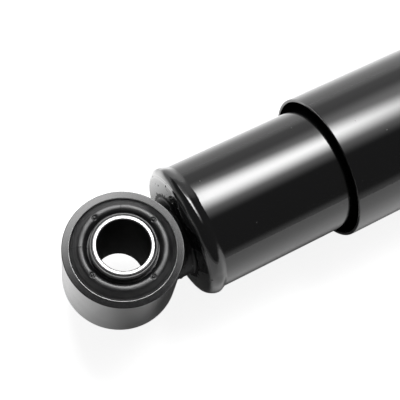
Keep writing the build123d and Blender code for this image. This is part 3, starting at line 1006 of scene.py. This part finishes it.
def white_floor():
    half = FLOOR_HALF_SIZE
    mesh = bpy.data.meshes.new("floor")
    corners = [(-half, -half), (half, -half), (half, half), (-half, half)]
    mesh.from_pydata([(x, y, FLOOR_Z) for x, y in corners], [], [(0, 1, 2, 3)])
    floor = bpy.data.objects.new("floor", mesh)
    bpy.context.scene.collection.objects.link(floor)
    material, s = new_finish("floor_white")
    ray = s.add("ShaderNodeLightPath")
    x, y, _ = s.xyz(s.add("ShaderNodeNewGeometry")["Position"])
    back = y.ramp(*BACK_EDGE)
    left = 1 - x.ramp(*LEFT_EDGE)
    aside = y.math("ABSOLUTE")
    # painted shadow: the mirrored white is dark in the band under the damper
    clear = aside.ramp(*PAINTED_SHADOW_EDGE)
    near = 1 - aside.ramp(*NEAR_EDGE)
    beyond = 1 - x.ramp(*BEYOND_EDGE)
    front = x.ramp(*FRONT_EDGE) * (1 - FRONT_LEAST) + FRONT_LEAST
    # painted pool of light: the mirrored white grows near the damper and towards the back left
    open_floor = near * (back * (left * LEFT_WHITE + BACK_WHITE) + front * NEAR_WHITE)
    open_floor = open_floor + front * FRONT_WHITE
    mirrored = clear * open_floor + beyond * (1 - clear) * BEYOND_WHITE
    white = ray["Is Camera Ray"] * SEEN_WHITE + ray["Is Glossy Ray"] * mirrored
    s.finish(
        Base_Color=(0.8, 0.8, 0.8),
        Roughness=0.9,
        Specular_IOR_Level=0.0,
        Emission_Color=s.mix(white / FLOOR_GLOW, (0.0, 0.0, 0.0), (1.0, 1.0, 1.0)),
        Emission_Strength=FLOOR_GLOW,
    )
    mesh.materials.append(material)


white_floor()
print("floor at", round(FLOOR_Z / MM, 1), "mm")

# %% [markdown]
# ## Studio light
#
# Black gloss shows nothing but what it mirrors, so the studio is drawn as the tube sees it: its
# brightness at each angle about the damper's axis. One long soft lamp hangs over the far side
# and draws the streak, inside a fainter halo. A white card stands where only the eye's flat face
# mirrors it. Behind the lamp the wall is grey, in front the room is dark, and towards the
# damper's lower end the lamp stops, which keeps the cap black. Past the floor's edge the camera
# itself sees plain white.

# %% The studio's brightness by direction
LAMP_FRONT = math.radians(10.5)
LAMP_BACK = math.radians(55)
LAMP_SLANT = math.radians(58)
LAMP_SOFTNESS = math.radians(12)
LAMP_REACH = (0.235, 0.28, 0.38, 0.62)
LAMP_BRIGHTNESS = 9.3
HALO_ANGLE = math.radians(22)
HALO_INNER = math.radians(15)
HALO_OUTER = math.radians(40)
HALO_REACH = (0.2, 0.28, 0.48, 0.62)
HALO_BRIGHTNESS = 1.2
CARD_ANGLES = [math.radians(angle) for angle in (14, 20, 40, 60)]
CARD_REACH = (0.0, 0.1, 0.18, 0.3)
CARD_BRIGHTNESS = 5.5
WALL_ANGLES = [math.radians(angle) for angle in (30, 60)]
WALL_REACH = (-0.1, 0.3)
WALL_BRIGHTNESS = 0.32
HORIZON_HEIGHT = 0.22
HORIZON_BRIGHTNESS = 0.3
ROOM_BRIGHTNESS = 0.08
WORLD_GLOW = 15.0


def window(value, edges):
    """1 between the middle two of four edges, 0 outside the outer two, smooth between."""
    return value.ramp(edges[0], edges[1]) * (1 - value.ramp(edges[2], edges[3]))


def studio():
    world = bpy.data.worlds.new("studio")
    bpy.context.scene.world = world
    world.use_nodes = True
    s = Shader(world.node_tree)
    background = world.node_tree.nodes["Background"]
    x, y, z = s.xyz(s.add("ShaderNodeTexCoord")["Generated"])
    angle = y.math("ARCTAN2", z)
    front_edge = angle.ramp(LAMP_FRONT - LAMP_SOFTNESS, LAMP_FRONT + LAMP_SOFTNESS)
    slanted = angle + x * LAMP_SLANT
    back_edge = 1 - slanted.ramp(LAMP_BACK - LAMP_SOFTNESS, LAMP_BACK + LAMP_SOFTNESS)
    lamp = front_edge * back_edge * window(x, LAMP_REACH)
    off_halo = (angle - HALO_ANGLE).math("ABSOLUTE")
    halo = (1 - off_halo.ramp(HALO_INNER, HALO_OUTER)) * window(x, HALO_REACH)
    card = window(x, CARD_REACH) * window(angle, CARD_ANGLES)
    back_wall = angle.ramp(*WALL_ANGLES) * x.ramp(*WALL_REACH)
    horizon = 1 - z.ramp(0.0, HORIZON_HEIGHT)
    glow = lamp * LAMP_BRIGHTNESS + halo * HALO_BRIGHTNESS + card * CARD_BRIGHTNESS
    glow = glow + back_wall * WALL_BRIGHTNESS + horizon * HORIZON_BRIGHTNESS + ROOM_BRIGHTNESS
    seen = s.add("ShaderNodeLightPath")["Is Camera Ray"]
    glow = glow * (1 - seen) + seen
    s.feed(background.inputs["Color"], s.mix(glow / WORLD_GLOW, (0.0, 0.0, 0.0), (1.0, 1.0, 1.0)))
    s.feed(background.inputs["Strength"], WORLD_GLOW)


studio()
print("one soft lamp,", LAMP_BRIGHTNESS, "times white")

# %% [markdown]
# ## The camera
#
# The photograph's camera was worked out from the ellipses of the sleeve and eye and from the
# tube's straight sides. It looks steeply down on the lower eye, with the tube running off to
# the upper right.

# %% Camera
CAMERA_PLACE = Vector((-0.0830, -0.1158, 0.4461))
CAMERA_FORWARD = Vector((0.2716, 0.2627, -0.9259)).normalized()
CAMERA_UP = Vector((0.4105, 0.8385, 0.3584))
FOCAL_PIXELS = 1005.5
FRAME_PIXELS = 400
SENSOR_WIDTH = 36.0

camera = bpy.data.objects.new("camera", bpy.data.cameras.new("camera"))
camera.data.sensor_width = SENSOR_WIDTH
camera.data.lens = FOCAL_PIXELS / FRAME_PIXELS * SENSOR_WIDTH
camera.data.clip_start = 0.01
right = CAMERA_FORWARD.cross(CAMERA_UP).normalized()
up = right.cross(CAMERA_FORWARD)
turn = Matrix((right, up, -CAMERA_FORWARD)).transposed()
camera.matrix_world = Matrix.Translation(CAMERA_PLACE) @ turn.to_4x4()
bpy.context.scene.collection.objects.link(camera)
bpy.context.scene.camera = camera
bpy.context.scene.view_settings.view_transform = "Standard"
print("lens", round(camera.data.lens, 1), "mm")
